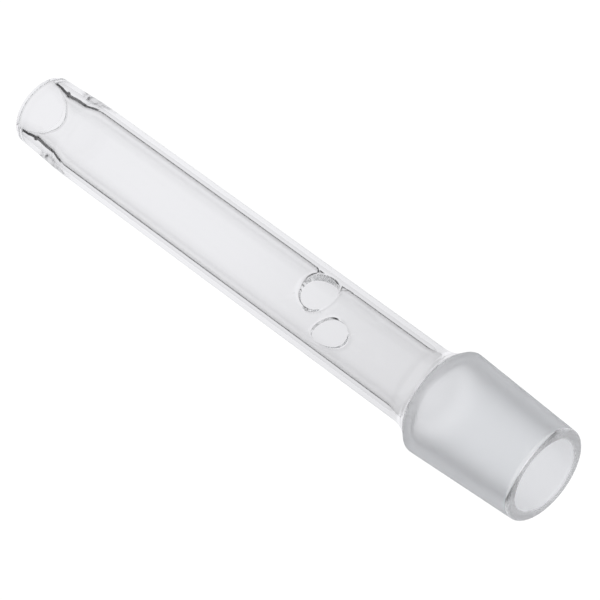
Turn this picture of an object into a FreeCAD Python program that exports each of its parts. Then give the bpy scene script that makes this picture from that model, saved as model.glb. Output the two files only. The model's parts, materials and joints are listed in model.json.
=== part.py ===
"""Glass vapour tube with a standard-taper ground joint, an opposed pair of side ports and a drawn-in mouth.

The tube lies on its side. +X runs along its axis from the mouth to the joint's tip, +Z points out of the top
port, and the origin is on the axis in the joint's gauge plane, where the ground cone is widest.
The glass is turned from one outline and then divided where a glassblower works it in separate steps, so
neighbours share a flat fused seam.
"""

import FreeCAD
import Part

import math
import os

# Ground joint, standard taper 29/32 (mm)
JOINT_OD = 29.2  # in the gauge plane
JOINT_LENGTH = 32.0  # ground zone, from the gauge plane to its small end
JOINT_TAPER = 0.1  # of the diameter, per mm of length
JOINT_WALL = 2.6  # in the gauge plane
TIP_LENGTH = 1.0  # clear glass past the ground zone
TIP_WALL = 2.9
TIP_ROUND = 0.9

# Tube
TUBE_OD = 21.6
TUBE_WALL = 2.3
MOUTH_DISTANCE = 150.0  # gauge plane to the mouth's end

# Flare from the tube out to the joint
LAND_LENGTH = 0.7  # clear land behind the gauge plane
LAND_ROUND = 0.5
FLARE_LENGTH = 4.3  # of its slope, measured between sharp corners
FLARE_ROUND = 11.0  # outside, where it leaves the tube
FLARE_BORE_START = 3.0  # gauge plane back to where the bore opens out
FLARE_BORE_END = 0.0  # gauge plane forward to where the joint's bore begins
FLARE_BORE_ROUND = 4.0
JOINT_BORE_ROUND = 3.0
FLARE_REACH = 9.5  # gauge plane to the seam with the tube

# Side ports
PORT_DISTANCE = 42.8  # gauge plane to the ports' common axis
PORT_BORE = 9.6
PORT_LIP_WIDTH = 1.5
PORT_OUTSIDE_ROUND = 0.9
PORT_INSIDE_ROUND = 0.4
PORT_BAND_MARGIN = 2.0  # tube left on each side of the lips

# Drawn-in end, with distances from the mouth's end
NECK_LENGTH = 4.5  # to the seam between the neck and the draw
DRAW_END = 19.5  # to the seam between the draw and the tube
NECK_OUTSIDE_END = 5.5  # where the outside begins to widen
DRAW_OUTSIDE_END = 15.0  # where the outside reaches the tube's size
NECK_BORE_END = 6.0
DRAW_BORE_END = 17.0
DRAW_ROUND = 8.0
NECK_DRAW_IN = 0.6  # of the radius
NECK_WALL = 3.1
MOUTH_DRAW_IN = 0.8  # of the radius
MOUTH_ROUND = 0.4
RIM_LENGTH = 1.9

# A rounded edge takes up to this share of its wall
ROUND_SHARE = 0.49
PORT_OUTSIDE_SHARE = 0.6
PORT_INSIDE_SHARE = 0.35


def vector(x, height):
    return FreeCAD.Vector(x, 0, height)


def rounded_outline(corners):
    """Closed wire through corners (x, radius from the axis, rounding), each one eased by a tangent arc."""
    starts, arcs, ends = [], [], []
    for number, (x, height, rounding) in enumerate(corners):
        here = vector(x, height)
        back = (vector(*corners[number - 1][:2]) - here).normalize()
        ahead = (vector(*corners[(number + 1) % len(corners)][:2]) - here).normalize()
        half = back.getAngle(ahead) / 2
        setback = rounding / math.tan(half)
        inward = (back + ahead).normalize()
        middle = here + inward * (rounding / math.sin(half) - rounding)
        starts.append(here + back * setback)
        ends.append(here + ahead * setback)
        arcs.append(Part.Arc(starts[-1], middle, ends[-1]).toShape())
    edges = []
    for number, arc in enumerate(arcs):
        edges.append(Part.LineSegment(ends[number - 1], starts[number]).toShape())
        edges.append(arc)
    return Part.Wire(edges)


def glass_blank():
    """The whole tube of revolution, without its ports."""
    tube_r = TUBE_OD / 2
    bore_r = tube_r - TUBE_WALL
    joint_r = JOINT_OD / 2
    tip_x = JOINT_LENGTH + TIP_LENGTH
    tip_r = joint_r - tip_x * JOINT_TAPER / 2
    tip_round = min(TIP_ROUND, ROUND_SHARE * TIP_WALL)
    land_r = joint_r + LAND_LENGTH * JOINT_TAPER / 2

    # The joint's bore is a straight cone from the gauge plane to the tip
    joint_bore_r = joint_r - JOINT_WALL
    joint_bore_rise = (tip_r - TIP_WALL - joint_bore_r) / tip_x

    mouth_x = -MOUTH_DISTANCE
    mouth_r = tube_r - MOUTH_DRAW_IN
    neck_r = tube_r - NECK_DRAW_IN
    neck_bore_r = neck_r - NECK_WALL
    mouth_round = min(MOUTH_ROUND, ROUND_SHARE * (mouth_r - neck_bore_r))

    outline = rounded_outline(
        [
            (tip_x, tip_r - TIP_WALL, tip_round),
            (tip_x, tip_r, tip_round),
            (-LAND_LENGTH, land_r, LAND_ROUND),
            (-LAND_LENGTH - FLARE_LENGTH, tube_r, FLARE_ROUND),
            (mouth_x + DRAW_OUTSIDE_END, tube_r, DRAW_ROUND),
            (mouth_x + NECK_OUTSIDE_END, neck_r, DRAW_ROUND),
            (mouth_x, mouth_r, mouth_round),
            (mouth_x, neck_bore_r, mouth_round),
            (mouth_x + NECK_BORE_END, neck_bore_r, DRAW_ROUND),
            (mouth_x + DRAW_BORE_END, bore_r, DRAW_ROUND),
            (-FLARE_BORE_START, bore_r, FLARE_BORE_ROUND),
            (FLARE_BORE_END, joint_bore_r + joint_bore_rise * FLARE_BORE_END, JOINT_BORE_ROUND),
        ]
    )
    return Part.Face(outline).revolve(FreeCAD.Vector(), FreeCAD.Vector(1, 0, 0), 360)


def port_drill(radius):
    """Cylinder across the whole tube on the ports' axis."""
    base = FreeCAD.Vector(-PORT_DISTANCE, 0, -TUBE_OD)
    return Part.makeCylinder(radius, 2 * TUBE_OD, base)


def port_edges(glass, wall_r):
    """The edges where the ports' sides meet the tube's surface of this radius."""
    edges = []
    for face in glass.Faces:
        surface = face.Surface
        if isinstance(surface, Part.Cylinder) and abs(surface.Axis.z) > 0.5:
            for edge in face.Edges:
                point = edge.valueAt(edge.FirstParameter)
                on_wall = abs(math.hypot(point.y, point.z) - wall_r) < 0.01
                if on_wall and not isinstance(edge.Curve, Part.Line):
                    edges.append(edge)
    return edges


def with_ports(glass):
    """Bores the ports and melts their edges round, more on the outside, where the flame reaches them."""
    tube_r = TUBE_OD / 2
    bored = glass.cut(port_drill(PORT_BORE / 2))
    outside_round = min(PORT_OUTSIDE_ROUND, PORT_OUTSIDE_SHARE * TUBE_WALL)
    inside_round = min(PORT_INSIDE_ROUND, PORT_INSIDE_SHARE * TUBE_WALL)
    melted = bored.makeFillet(outside_round, port_edges(bored, tube_r))
    return melted.makeFillet(inside_round, port_edges(melted, tube_r - TUBE_WALL))


def between(glass, low_x, high_x):
    """The stretch of glass between two seams."""
    size = 4 * JOINT_OD
    slab = Part.makeBox(high_x - low_x, size, size, FreeCAD.Vector(low_x, -size / 2, -size / 2))
    return glass.common(slab)


def zones():
    """Every node by name."""
    glass = with_ports(glass_blank())
    lip_r = PORT_BORE / 2 + PORT_LIP_WIDTH
    band_half = lip_r + PORT_BAND_MARGIN
    seams = {
        "tip_rim": (JOINT_LENGTH, JOINT_LENGTH + 2 * TIP_LENGTH),
        "ground_cone": (0, JOINT_LENGTH),
        "cone_shoulder": (-FLARE_REACH, 0),
        "joint_tube": (-PORT_DISTANCE + band_half, -FLARE_REACH),
        "port_band": (-PORT_DISTANCE - band_half, -PORT_DISTANCE + band_half),
        "long_tube": (-MOUTH_DISTANCE + DRAW_END, -PORT_DISTANCE - band_half),
        "neck_shoulder": (-MOUTH_DISTANCE + NECK_LENGTH, -MOUTH_DISTANCE + DRAW_END),
        "neck": (-MOUTH_DISTANCE + RIM_LENGTH, -MOUTH_DISTANCE + NECK_LENGTH),
        "mouth_rim": (-MOUTH_DISTANCE - RIM_LENGTH, -MOUTH_DISTANCE + RIM_LENGTH),
    }
    nodes = {name: between(glass, low_x, high_x) for name, (low_x, high_x) in seams.items()}
    lips = nodes["port_band"].common(port_drill(lip_r))
    nodes["port_band"] = nodes["port_band"].cut(port_drill(lip_r))
    nodes["bottom_port_lip"], nodes["top_port_lip"] = sorted(lips.Solids, key=lambda lip: lip.CenterOfMass.z)
    return nodes


os.makedirs("parts", exist_ok=True)
for name, shape in zones().items():
    solid = shape.Solids[0]
    solid.exportStep(f"parts/{name}.step")
    print(name, len(shape.Solids), solid.isValid(), round(solid.Volume, 1), solid.BoundBox)
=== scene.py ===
# %% [markdown]
# # A glass vapour tube with a ground joint
# Laboratory glass is worked from a few simple zones: a tapered joint that is ground to seat in a flask's neck,
# a flare, a length of heavy-wall tube with two side ports, and an end that is drawn in and fire-polished.
# The finished piece is one continuous body of glass, so it is modelled here as one closed mesh. If each zone
# were its own mesh, light would meet two surfaces at every seam and draw a line there that the real tube lacks.

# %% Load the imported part
import json
import math

import bmesh
import bpy
from mathutils import Matrix, Vector

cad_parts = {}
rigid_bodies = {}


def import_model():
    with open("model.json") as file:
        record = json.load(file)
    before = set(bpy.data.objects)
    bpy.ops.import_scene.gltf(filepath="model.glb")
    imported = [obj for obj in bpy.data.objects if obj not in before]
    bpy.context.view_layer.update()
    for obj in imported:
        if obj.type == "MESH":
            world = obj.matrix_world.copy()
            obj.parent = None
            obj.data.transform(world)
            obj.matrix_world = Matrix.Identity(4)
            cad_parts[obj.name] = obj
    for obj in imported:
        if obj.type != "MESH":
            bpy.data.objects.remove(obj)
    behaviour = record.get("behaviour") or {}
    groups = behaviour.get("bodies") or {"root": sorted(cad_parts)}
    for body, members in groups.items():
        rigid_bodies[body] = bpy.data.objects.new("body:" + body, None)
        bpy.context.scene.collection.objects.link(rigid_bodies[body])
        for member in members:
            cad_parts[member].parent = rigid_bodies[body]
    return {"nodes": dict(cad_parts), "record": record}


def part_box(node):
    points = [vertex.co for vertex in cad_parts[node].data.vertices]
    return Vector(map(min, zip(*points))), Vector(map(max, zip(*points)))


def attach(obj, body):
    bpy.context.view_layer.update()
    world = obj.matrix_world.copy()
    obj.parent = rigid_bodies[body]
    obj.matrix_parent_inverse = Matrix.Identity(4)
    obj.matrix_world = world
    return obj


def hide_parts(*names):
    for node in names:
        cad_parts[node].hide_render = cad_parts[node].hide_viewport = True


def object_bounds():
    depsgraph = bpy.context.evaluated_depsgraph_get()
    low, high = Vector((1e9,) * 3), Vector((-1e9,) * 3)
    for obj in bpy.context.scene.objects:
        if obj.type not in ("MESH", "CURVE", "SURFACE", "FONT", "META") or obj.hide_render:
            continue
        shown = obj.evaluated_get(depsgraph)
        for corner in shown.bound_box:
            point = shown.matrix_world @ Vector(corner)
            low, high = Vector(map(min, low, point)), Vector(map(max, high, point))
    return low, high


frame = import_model()
cad_low, cad_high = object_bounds()
print("CAD box, mm:", [round(side * 1000, 2) for side in cad_high - cad_low])

# %% [markdown]
# ## Sizes
# Sizes that the part's interfaces and zones give are read from them, so that the glass stays true to the CAD
# model. They say nothing of the walls, the flare, the draw at the neck and the roundings, so the outline below
# names those again.

# %% Read the driving sizes from the frame
MM = 0.001
mounts = {mount["name"]: mount for mount in frame["record"]["mounts"]}


def radius_of(mount):
    return mounts[mount]["dims"]["r_mm"] * MM


def far_x(node):
    """A zone's end nearest the joint's tip."""
    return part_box(node)[1].x


def near_x(node):
    """A zone's end nearest the mouth."""
    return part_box(node)[0].x


JOINT_R = radius_of("ground_joint")
JOINT_LENGTH = mounts["ground_joint"]["dims"]["length_mm"] * MM
JOINT_TAPER = 0.1  # of the diameter, per unit of length
TUBE_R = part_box("long_tube")[1].z
BORE_R = radius_of("tube_bore")
NECK_BORE_R = radius_of("neck_bore")
PORT_R = radius_of("side_ports")
PORT_X = mounts["side_ports"]["pos_m"][0]
TIP_X = far_x("tip_rim")
MOUTH_X = near_x("mouth_rim")
TIP_R = JOINT_R - TIP_X * JOINT_TAPER / 2
print("tube, mm:", round(2 * TUBE_R / MM, 2), "bore:", round(2 * BORE_R / MM, 2))
print("length, mm:", round((TIP_X - MOUTH_X) / MM, 1))

# %% [markdown]
# ## The outline
# A glassblower turns the piece on a lathe, so one closed outline of half its section holds its whole shape. The
# outline starts as sharp corners. Heat rounds every edge of real glass, so each corner is then bevelled by the
# distance that its fillet takes, which keeps the lines between them straight.

# %% Sizes of the joint and its flare
LAND = 0.7 * MM  # how far the cone runs on behind the gauge plane
FLARE = 4.3 * MM  # length of the flare's slope
FLARE_BORE = 3.0 * MM  # gauge plane back to where the bore opens out
JOINT_WALL = 2.6 * MM
TIP_WALL = 2.9 * MM
# Length that each rounding takes of the lines beside it
TIP_REACH = 0.9 * MM
TIP_BORE_REACH = 0.95 * MM
LAND_REACH = 0.25 * MM
FLARE_REACH = 4.19 * MM
FLARE_BORE_REACH = 1.84 * MM
JOINT_BORE_REACH = 1.49 * MM
land_r = JOINT_R + LAND * JOINT_TAPER / 2
print("joint's bore, mm:", round(2 * (JOINT_R - JOINT_WALL) / MM, 2), "to", round(2 * (TIP_R - TIP_WALL) / MM, 2))

# %% Sizes of the drawn-in end, with places measured from the mouth
NECK_WALL = 3.1 * MM
MOUTH_DRAW_IN = 0.8 * MM
MOUTH_REACH = 0.4 * MM
NECK_OUTSIDE_END = 5.5 * MM  # where the outside begins to widen
DRAW_OUTSIDE_END = 15.0 * MM  # where the outside reaches the tube's size
NECK_BORE_END = 6.0 * MM
DRAW_BORE_END = 17.0 * MM
DRAW_REACH = 2.0 * MM
print("mouth, mm:", round(2 * (TUBE_R - MOUTH_DRAW_IN) / MM, 2), "neck's bore:", round(2 * NECK_BORE_R / MM, 2))

# %% Place the sharp corners
# (x, radius, reach of the rounding)
CORNERS = [
    (TIP_X, TIP_R - TIP_WALL, TIP_BORE_REACH),
    (TIP_X, TIP_R, TIP_REACH),
    (-LAND, land_r, LAND_REACH),
    (-LAND - FLARE, TUBE_R, FLARE_REACH),
    (MOUTH_X + DRAW_OUTSIDE_END, TUBE_R, DRAW_REACH),
    (MOUTH_X + NECK_OUTSIDE_END, NECK_BORE_R + NECK_WALL, DRAW_REACH),
    (MOUTH_X, TUBE_R - MOUTH_DRAW_IN, MOUTH_REACH),
    (MOUTH_X, NECK_BORE_R, MOUTH_REACH),
    (MOUTH_X + NECK_BORE_END, NECK_BORE_R, DRAW_REACH),
    (MOUTH_X + DRAW_BORE_END, BORE_R, DRAW_REACH),
    (-FLARE_BORE, BORE_R, FLARE_BORE_REACH),
    (0, JOINT_R - JOINT_WALL, JOINT_BORE_REACH),
]
print("sharp corners:", len(CORNERS))

# %% Join the corners and round them
ROUND_SEGMENTS = 14
glass = bmesh.new()
corner_verts = [glass.verts.new((x, 0, r)) for x, r, _ in CORNERS]
for index, vert in enumerate(corner_verts):
    glass.edges.new((corner_verts[index - 1], vert))
for vert, (_, _, reach) in zip(corner_verts, CORNERS):
    bmesh.ops.bevel(
        glass, geom=[vert], offset=reach, offset_type="OFFSET", segments=ROUND_SEGMENTS,
        profile=0.5, affect="VERTICES", clamp_overlap=False, material=-1,
    )
print("outline points:", len(glass.verts))

# %% [markdown]
# Smooth shading blends each long face towards its neighbours, which would bend the view through the straight
# wall. Cutting the outline close to every rounding keeps that blend short. The port band gets evenly spaced cuts,
# because the ports need a fine, even grid to grow from.

# %% Cut the outline where faces have to end
PORT_GRID = 32  # cells from a port's middle to the edge of its patch
PATCH_HALF = 10.0 * MM
SUPPORT = 0.4 * MM


def cut_at(bm, x):
    geom = bm.verts[:] + bm.edges[:]
    bmesh.ops.bisect_plane(bm, geom=geom, dist=1e-7, plane_co=(x, 0, 0), plane_no=(1, 0, 0))


beside_roundings = [
    near_x("cone_shoulder") - SUPPORT, near_x("neck_shoulder") - SUPPORT, far_x("neck_shoulder") + SUPPORT,
]
beside_patch = [PORT_X + side * (PATCH_HALF + SUPPORT) for side in (-1, 1)]
patch_rows = [PORT_X + PATCH_HALF * row / PORT_GRID for row in range(-PORT_GRID, PORT_GRID + 1)]
ground_ends = [-LAND, JOINT_LENGTH]
# Long thin faces are split, so that none is shaded over its whole length
along_tube = [near_x("joint_tube") + 8 * MM, near_x("long_tube") + 20 * MM, near_x("long_tube") + 50 * MM]
along_cone = [JOINT_LENGTH / 4, JOINT_LENGTH * 3 / 4]
for x in beside_roundings + beside_patch + patch_rows + ground_ends + along_tube + along_cone:
    cut_at(glass, x)
print("outline points after the cuts:", len(glass.verts))

# %% [markdown]
# ## Turning the body
# Spin does what the glass lathe does. The steps are few enough to stay light and many enough that the silhouette
# reads as a true circle.

# %% Spin the outline into a closed body
AROUND = 192
bmesh.ops.spin(
    glass, geom=glass.verts[:] + glass.edges[:], cent=(0, 0, 0), axis=(1, 0, 0), dvec=(0, 0, 0),
    angle=2 * math.pi, steps=AROUND, use_merge=True, use_duplicate=False,
)
bmesh.ops.remove_doubles(glass, verts=glass.verts[:], dist=1e-7)
print("turned body:", len(glass.verts), "points")

# %% [markdown]
# ## Side ports
# On the bench a port is blown: a spot of the wall is heated, pushed out and opened, and its lip melts round.
# A cut-out made by a boolean would leave long slivers that show in clear glass. So the square grid around each
# port is pulled into rings instead: the innermost square ring becomes the port's round edge, and the rings
# outside it fade back to the square patch. Every point keeps its own wall's radius, so the tube stays round.

# %% Find a point's place in a port's square patch
PATCH_TURN = 2 * math.pi * PORT_GRID / AROUND  # from a port's middle to the edge of its patch, around the tube
ON_WALL = 0.1 * MM  # how near a point lies to the wall that it belongs to
SLACK = 0.01  # of a cell, for rounding errors


def square_place(vert, side):
    """Row and column of a point in a port's patch, counted from its middle, or None outside it."""
    row = (vert.co.x - PORT_X) / PATCH_HALF * PORT_GRID
    column = math.atan2(vert.co.y, side * vert.co.z) / PATCH_TURN * PORT_GRID
    if max(abs(row), abs(column)) > PORT_GRID + SLACK:
        return None
    return round(row), round(column)


def patch_points(bm, side, wall_r):
    """The points of one wall's patch, each under its row and column."""
    patch = {}
    for vert in bm.verts:
        place = square_place(vert, side)
        if place is not None and abs(vert.co.yz.length - wall_r) < ON_WALL:
            patch[place] = vert
    return patch


print("points in a patch:", len(patch_points(glass, 1, TUBE_R)))

# %% Pull the grid into rings around each port
RIM_RING = 20  # the ring of the grid that becomes the port's edge
LIP_ROOM = 0.2 * MM  # between the lip's rounding and the next ring of points


def ring_angle(row, column):
    """Where a point of a square ring lands on the round one, so that the points stay evenly spread."""
    if abs(row) >= abs(column):
        return math.pi / 4 * column / row + (0 if row > 0 else math.pi)
    return math.pi / 2 - math.pi / 4 * row / column + (0 if column > 0 else math.pi)


def pull_round(patch, side, wall_r, lip):
    """Moves a patch's square rings towards the port's circle, and gives back the points of the port's edge."""
    rim = []
    lip_share = (lip + LIP_ROOM) / (PATCH_HALF - PORT_R)
    for (row, column), vert in patch.items():
        ring = max(abs(row), abs(column))
        if ring < RIM_RING:
            continue
        angle = ring_angle(row, column)
        round_x = PORT_R * math.cos(angle)
        round_turn = math.asin(PORT_R * math.sin(angle) / wall_r)
        share = 0
        if ring > RIM_RING:
            share = lip_share + (1 - lip_share) * (ring - RIM_RING - 1) / (PORT_GRID - RIM_RING - 1)
        turn = round_turn + (PATCH_TURN * column / ring - round_turn) * share
        x = PORT_X + round_x + (PATCH_HALF * row / ring - round_x) * share
        vert.co = (x, wall_r * math.sin(turn), side * wall_r * math.cos(turn))
        if ring == RIM_RING:
            rim.append(vert)
    return set(rim)


print("points in the port's edge:", 8 * RIM_RING)

# %% Open the ports and melt their lips round
LIPS = {TUBE_R: 1.3 * MM, BORE_R: 0.4 * MM}  # rounding on each wall, more where the flame reaches
LIP_SEGMENTS = 10

for side in (1, -1):
    rims = {}
    for wall_r in (BORE_R, TUBE_R):
        patch = patch_points(glass, side, wall_r)
        rims[wall_r] = pull_round(patch, side, wall_r, LIPS[wall_r])
        opening = [vert for place, vert in patch.items() if max(map(abs, place)) < RIM_RING]
        bmesh.ops.delete(glass, geom=opening, context="VERTS")
    open_edges = [edge for edge in glass.edges if edge.is_boundary]
    bmesh.ops.bridge_loops(glass, edges=open_edges)
    for wall_r in (TUBE_R, BORE_R):
        edges = [edge for edge in open_edges if edge.is_valid and set(edge.verts) <= rims[wall_r]]
        bmesh.ops.bevel(
            glass, geom=edges, offset=LIPS[wall_r], offset_type="OFFSET", segments=LIP_SEGMENTS,
            profile=0.5, affect="EDGES", clamp_overlap=True, material=-1,
        )
        print("port", side, "edges rounded:", len(edges))
bmesh.ops.recalc_face_normals(glass, faces=glass.faces[:])

# %% [markdown]
# ## One object in place of the zones
# The CAD model keeps each zone that the glassblower works as its own solid. Here one finished body of glass stands
# for all of them, with two materials on it: clear glass everywhere, and ground glass on the outside of the cone.

# %% Mark the ground faces
CLEAR, GROUND = 0, 1  # material slots of the finished body
GROUND_START = -LAND - 0.9 * MM  # the grinding runs over the cone's edge a little
for face in glass.faces:
    face.smooth = True
    middle = face.calc_center_median()
    wall_middle = JOINT_R - JOINT_WALL / 2 - middle.x * JOINT_TAPER / 2
    on_cone = GROUND_START < middle.x < JOINT_LENGTH and middle.yz.length > wall_middle
    face.material_index = GROUND if on_cone else CLEAR
print("ground faces:", sum(face.material_index == GROUND for face in glass.faces), "of", len(glass.faces))

# %% Make the glass an object
open_edges = sum(not edge.is_manifold for edge in glass.edges)
print("open edges:", open_edges, "volume, cm3:", round(glass.calc_volume() * 1e6, 2))
mesh = bpy.data.meshes.new("vapour_tube_glass")
glass.to_mesh(mesh)
glass.free()
tube = bpy.data.objects.new("vapour_tube_glass", mesh)
bpy.context.scene.collection.objects.link(tube)
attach(tube, "root")
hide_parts(*frame["nodes"])

# %% [markdown]
# ## Materials
# Colours are written as the hex values that a paint program shows, and one function turns them into the linear
# values that light calculations need. A second function adds a node with its settings and links in one call, so
# that each material below reads as a short list of what it is made of.

# %% Colour and node helpers


def linear(hex_colour):
    """An sRGB hex colour as the linear values that a shader wants."""
    values = [int(hex_colour[start:start + 2], 16) / 255 for start in (1, 3, 5)]
    return [v / 12.92 if v <= 0.04045 else ((v + 0.055) / 1.055) ** 2.4 for v in values] + [1.0]


def add_node(tree, kind, settings=None, values=None, links=None):
    """Adds a node, sets its options and plain values, and links its inputs to other nodes' outputs."""
    node = tree.nodes.new(kind)
    for name, value in (settings or {}).items():
        setattr(node, name, value)
    for name, value in (values or {}).items():
        node.inputs[name].default_value = value
    for name, socket in (links or {}).items():
        tree.links.new(socket, node.inputs[name])
    return node


def new_material(name):
    material = bpy.data.materials.new(name)
    material.use_nodes = True
    material.node_tree.nodes.clear()
    return material, material.node_tree


def finish_material(tree, surface):
    add_node(tree, "ShaderNodeOutputMaterial", links={"Surface": surface.outputs[0]})


print("mid grey #808080 is", round(linear("#808080")[0], 3), "in linear light")

# %% [markdown]
# ## Clear glass
# Borosilicate glass, drawn as tube and then fire-polished where it was worked. Its own colour is too weak to see
# in a wall this thin, so it shows only what it bends and reflects: its index of refraction is 1.473. Drawing the
# tube leaves faint waves that run along it, a few millimetres apart across it, and they make the highlights
# waver a little. Noise that is stretched along the tube gives them.

# %% Clear borosilicate glass
GLASS_IOR = 1.473
WAVE_ALONG = 125 * MM
WAVE_ACROSS = 2 * MM
clear, tree = new_material("borosilicate_glass_fire_polished")
place = add_node(tree, "ShaderNodeTexCoord")
stretch = add_node(
    tree, "ShaderNodeMapping", values={"Scale": (1 / WAVE_ALONG, 1 / WAVE_ACROSS, 1 / WAVE_ACROSS)},
    links={"Vector": place.outputs["Object"]},
)
waves = add_node(
    tree, "ShaderNodeTexNoise", values={"Scale": 1.0, "Detail": 2.0}, links={"Vector": stretch.outputs[0]}
)
bump = add_node(
    tree, "ShaderNodeBump", values={"Strength": 0.02, "Distance": 0.2 * MM},
    links={"Height": waves.outputs["Fac"]},
)
shader = add_node(
    tree, "ShaderNodeBsdfPrincipled",
    values={
        "Base Color": linear("#FFFFFF"), "Roughness": 0.0, "IOR": GLASS_IOR, "Transmission Weight": 1.0,
    },
    links={"Normal": bump.outputs[0]},
)
finish_material(tree, shader)
mesh.materials.append(clear)
print("waves, mm:", round(WAVE_ACROSS / MM, 2), "across,", round(WAVE_ALONG / MM), "along")

# %% [markdown]
# ## Ground glass
# The cone is lapped with silicon carbide grit in a matching socket until it seals. The grit leaves pits about
# 0.03 mm wide, so light is scattered as it passes through: the cone turns white, and what is behind it blurs. The
# scatter comes from the shader's roughness, and a fine noise in its bump breaks the surface up. Pits of the real
# size would be far too fine to show, so the noise is drawn several times coarser. A trace of blue in the colour
# stands for the cool tone of light that has crossed the pits several times.

# %% Ground glass
PIT = MM / 6
ground, tree = new_material("borosilicate_glass_ground")
place = add_node(tree, "ShaderNodeTexCoord")
grain = add_node(
    tree, "ShaderNodeTexNoise", values={"Scale": 1 / PIT, "Detail": 3.0}, links={"Vector": place.outputs["Object"]}
)
bump = add_node(
    tree, "ShaderNodeBump", values={"Strength": 0.15, "Distance": 0.05 * MM},
    links={"Height": grain.outputs["Fac"]},
)
shader = add_node(
    tree, "ShaderNodeBsdfPrincipled",
    values={
        "Base Color": linear("#FCFEFF"), "Roughness": 0.5, "IOR": GLASS_IOR, "Transmission Weight": 1.0,
    },
    links={"Normal": bump.outputs[0]},
)
finish_material(tree, shader)
mesh.materials.append(ground)
print("finishes on the body:", [material.name for material in mesh.materials])

# %% [markdown]
# ## Stage
# The tube lies on a plain white sweep. A sweep that is lit by itself from behind or below stays evenly white,
# so the glass has nothing behind it but light, and its shape is drawn by its dark edges.

# %% Floor
FLOOR_R = 4.0
floor_bm = bmesh.new()
bmesh.ops.create_circle(floor_bm, cap_ends=True, segments=96, radius=FLOOR_R)
bmesh.ops.translate(floor_bm, verts=floor_bm.verts[:], vec=(0, 0, cad_low.z))
floor_mesh = bpy.data.meshes.new("pale_floor")
floor_bm.to_mesh(floor_mesh)
floor_bm.free()
floor = bpy.data.objects.new("pale_floor", floor_mesh)
bpy.context.scene.collection.objects.link(floor)
print("floor lies at", round(cad_low.z / MM, 2), "mm")

# %% Floor finish
white, tree = new_material("white_paper_sweep")
glow = add_node(tree, "ShaderNodeEmission", values={"Color": linear("#FFFFFF"), "Strength": 1.05})
finish_material(tree, glow)
floor_mesh.materials.append(white)
# Only the camera sees the floor, so that the tent alone lights the glass
floor.visible_diffuse = floor.visible_glossy = floor.visible_transmission = floor.visible_shadow = False
print("floor's finish:", floor_mesh.materials[0].name)

# %% [markdown]
# ## Camera
# A long lens from well away keeps the two ends of the tube nearly the same size. It looks down on the tube from
# the joint's end and to one side, so that the joint's bore opens towards the viewer.

# %% Camera
AIM = Vector((-51.3, -0.55, -0.23)) * MM
DISTANCE = 879.5 * MM
AZIMUTH, ELEVATION, ROLL = (math.radians(angle) for angle in (57.57, 52.40, -15.1))
back = Vector((
    math.sin(AZIMUTH) * math.cos(ELEVATION), -math.cos(AZIMUTH) * math.cos(ELEVATION), math.sin(ELEVATION),
))
camera = bpy.data.objects.new("camera", bpy.data.cameras.new("camera"))
camera.data.lens = 210
level = back.to_track_quat("Z", "Y").to_matrix().to_4x4()
camera.matrix_world = Matrix.Translation(AIM + back * DISTANCE) @ level @ Matrix.Rotation(ROLL, 4, "Z")
camera.data.clip_start, camera.data.clip_end = 0.05, 20
bpy.context.scene.collection.objects.link(camera)
bpy.context.scene.camera = camera
print("camera at, mm:", [round(value / MM) for value in camera.matrix_world.translation])

# %% [markdown]
# ## Studio light
# Clear glass is lit in a tent, where everything that it can reflect or bend into view is chosen. White panels
# make it bright, and black cards at the sides give it the dark lines that draw its walls. The tent here is the
# world's background. Two measures place everything in it: the angle across the tube, which is 0 straight behind
# it for the camera placed above, and how far a direction leans along the tube, from -1 towards the mouth to +1
# towards the joint.

# %% Directions in the tent
PANEL_ACROSS = Vector((0, back.z, -back.y)).normalized()  # across the tube, to the far side
PANEL_AHEAD = Vector((0, -back.y, -back.z)).normalized()
world = bpy.data.worlds.new("studio")
world.use_nodes = True
bpy.context.scene.world = world
tree = world.node_tree
tree.nodes.clear()
ray = add_node(tree, "ShaderNodeTexCoord").outputs["Generated"]
across = add_node(tree, "ShaderNodeVectorMath", {"operation": "DOT_PRODUCT"}, {1: PANEL_ACROSS}, {0: ray})
ahead = add_node(tree, "ShaderNodeVectorMath", {"operation": "DOT_PRODUCT"}, {1: PANEL_AHEAD}, {0: ray})
angle = add_node(
    tree, "ShaderNodeMath", {"operation": "ARCTAN2"},
    links={0: across.outputs["Value"], 1: ahead.outputs["Value"]},
).outputs[0]
along = add_node(tree, "ShaderNodeSeparateXYZ", links={0: ray}).outputs["X"]
print("straight behind the tube:", [round(value, 2) for value in PANEL_AHEAD])

# %% [markdown]
# ## Cards
# A card or panel in a tent is a patch of one brightness with soft edges, since it hangs close to the glass and out
# of focus. It is a mix between what hangs behind it and its own level, and the mix follows four soft edges: two
# across the tube and two along it.

# %% Hang a card


def ramp(value, start, end, low=0.0, high=1.0):
    """Goes smoothly from low to high while the value goes from start to end."""
    return add_node(
        tree, "ShaderNodeMapRange", {"interpolation_type": "SMOOTHSTEP"},
        {"From Min": start, "From Max": end, "To Min": low, "To Max": high}, {"Value": value},
    ).outputs[0]


def times(one, other):
    return add_node(tree, "ShaderNodeMath", {"operation": "MULTIPLY"}, links={0: one, 1: other}).outputs[0]


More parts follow.
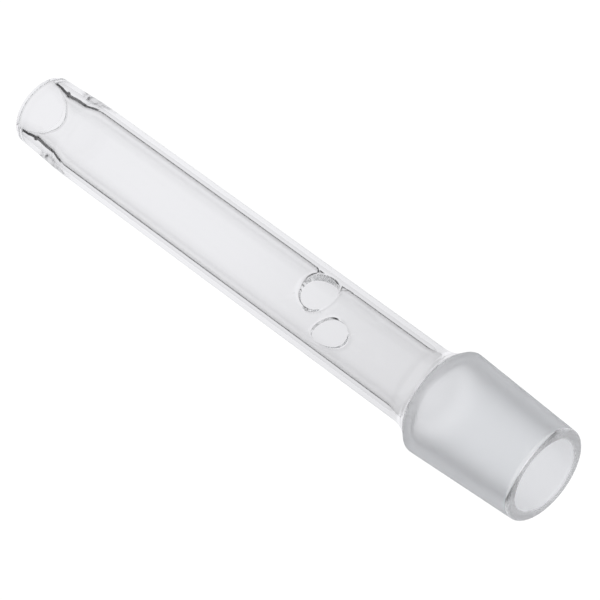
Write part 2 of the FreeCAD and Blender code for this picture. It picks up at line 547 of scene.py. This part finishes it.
def card(behind, level, angles, reach, soft_angle, soft_along):
    """Lays a soft-edged card over the tent behind it. Angles are in degrees across the tube."""
    low_angle, high_angle = angles
    low_along, high_along = reach
    low_edge = ramp(angle, math.radians(low_angle - soft_angle), math.radians(low_angle))
    high_edge = ramp(angle, math.radians(high_angle + soft_angle), math.radians(high_angle))
    near_edge = ramp(along, low_along - soft_along, low_along)
    far_edge = ramp(along, high_along + soft_along, high_along)
    cover = times(times(low_edge, high_edge), times(near_edge, far_edge))
    mix = add_node(tree, "ShaderNodeMix", {"data_type": "FLOAT"}, links={"Factor": cover})
    for name, value in (("A", behind), ("B", level)):
        if isinstance(value, float):
            mix.inputs[name].default_value = value
        else:
            tree.links.new(value, mix.inputs[name])
    return mix.outputs[0]


print("nodes before any card:", len(tree.nodes))

# %% [markdown]
# ## Panels and black cards
# A broad white panel stands behind the tube and grows brighter towards the mouth. Grey cards at the sides give
# the walls their tone, and a darker stretch of them shades the cone's edges. Last come thin black flags, just
# outside the panel: glass bends them into the fine dark lines that run along the tube and thicken at the neck.

# %% Hang the panels
ROOM = 0.70  # the tent's own brightness
LEFT, RIGHT = (-110, -57), (57, 110)
LEFT_REAR, RIGHT_AND_REAR = (-180, -110), (57, 180)
WHOLE = (-1.0, 1.0)
CONE_SHADE = (-0.49, -0.37)
inside = card(ROOM, 0.45, RIGHT, WHOLE, 6, 0.1)
inside = card(inside, 0.30, LEFT, WHOLE, 6, 0.1)
for level, angles in ((0.28, RIGHT_AND_REAR), (0.34, LEFT_REAR), (0.04, LEFT)):
    inside = card(inside, level, angles, CONE_SHADE, 6, 0.05)
mouth_panel = ramp(along, -0.42, -0.57, 0.76, 0.91)
inside = card(inside, mouth_panel, (-56, 56), (-1.0, 0.1), 4, 0.2)
inside = card(inside, 0.95, (-56, 56), (-0.05, 1.0), 4, 0.08)
print("nodes with the panels:", len(tree.nodes))

# %% Hang the black flags
BLACK = 0.02
for angles in ((-73, -57), (57, 73)):
    inside = card(inside, BLACK, angles, (-1.0, -0.34), 2, 0.06)
for angles in ((-66, -48), (48, 66)):
    inside = card(inside, BLACK, angles, (-1.0, -0.68), 3, 0.04)
print("nodes with the flags:", len(tree.nodes))

# %% Light the world
# The camera itself sees plain white, and only light that has met the glass shows the tent
seen = add_node(tree, "ShaderNodeLightPath").outputs["Is Camera Ray"]
strength = add_node(
    tree, "ShaderNodeMix", {"data_type": "FLOAT"}, {"B": 1.0}, {"Factor": seen, "A": inside}
).outputs[0]
sky = add_node(tree, "ShaderNodeBackground", values={"Color": linear("#FCFCFF")}, links={"Strength": strength})
add_node(tree, "ShaderNodeOutputWorld", links={"Surface": sky.outputs[0]})
bpy.context.scene.view_settings.view_transform = "Standard"
print("world:", world.name, "view:", bpy.context.scene.view_settings.view_transform)

# %% [markdown]
# ## Light paths
# Light that enters a glass wall can travel far along inside it before it leaves. With the usual few bounces those
# paths end early and leave black specks, so many are allowed here.

# %% Let light travel through the walls
cycles = bpy.context.scene.cycles
cycles.max_bounces = 140
cycles.glossy_bounces = 128
cycles.transmission_bounces = 128
print("bounces:", cycles.max_bounces)
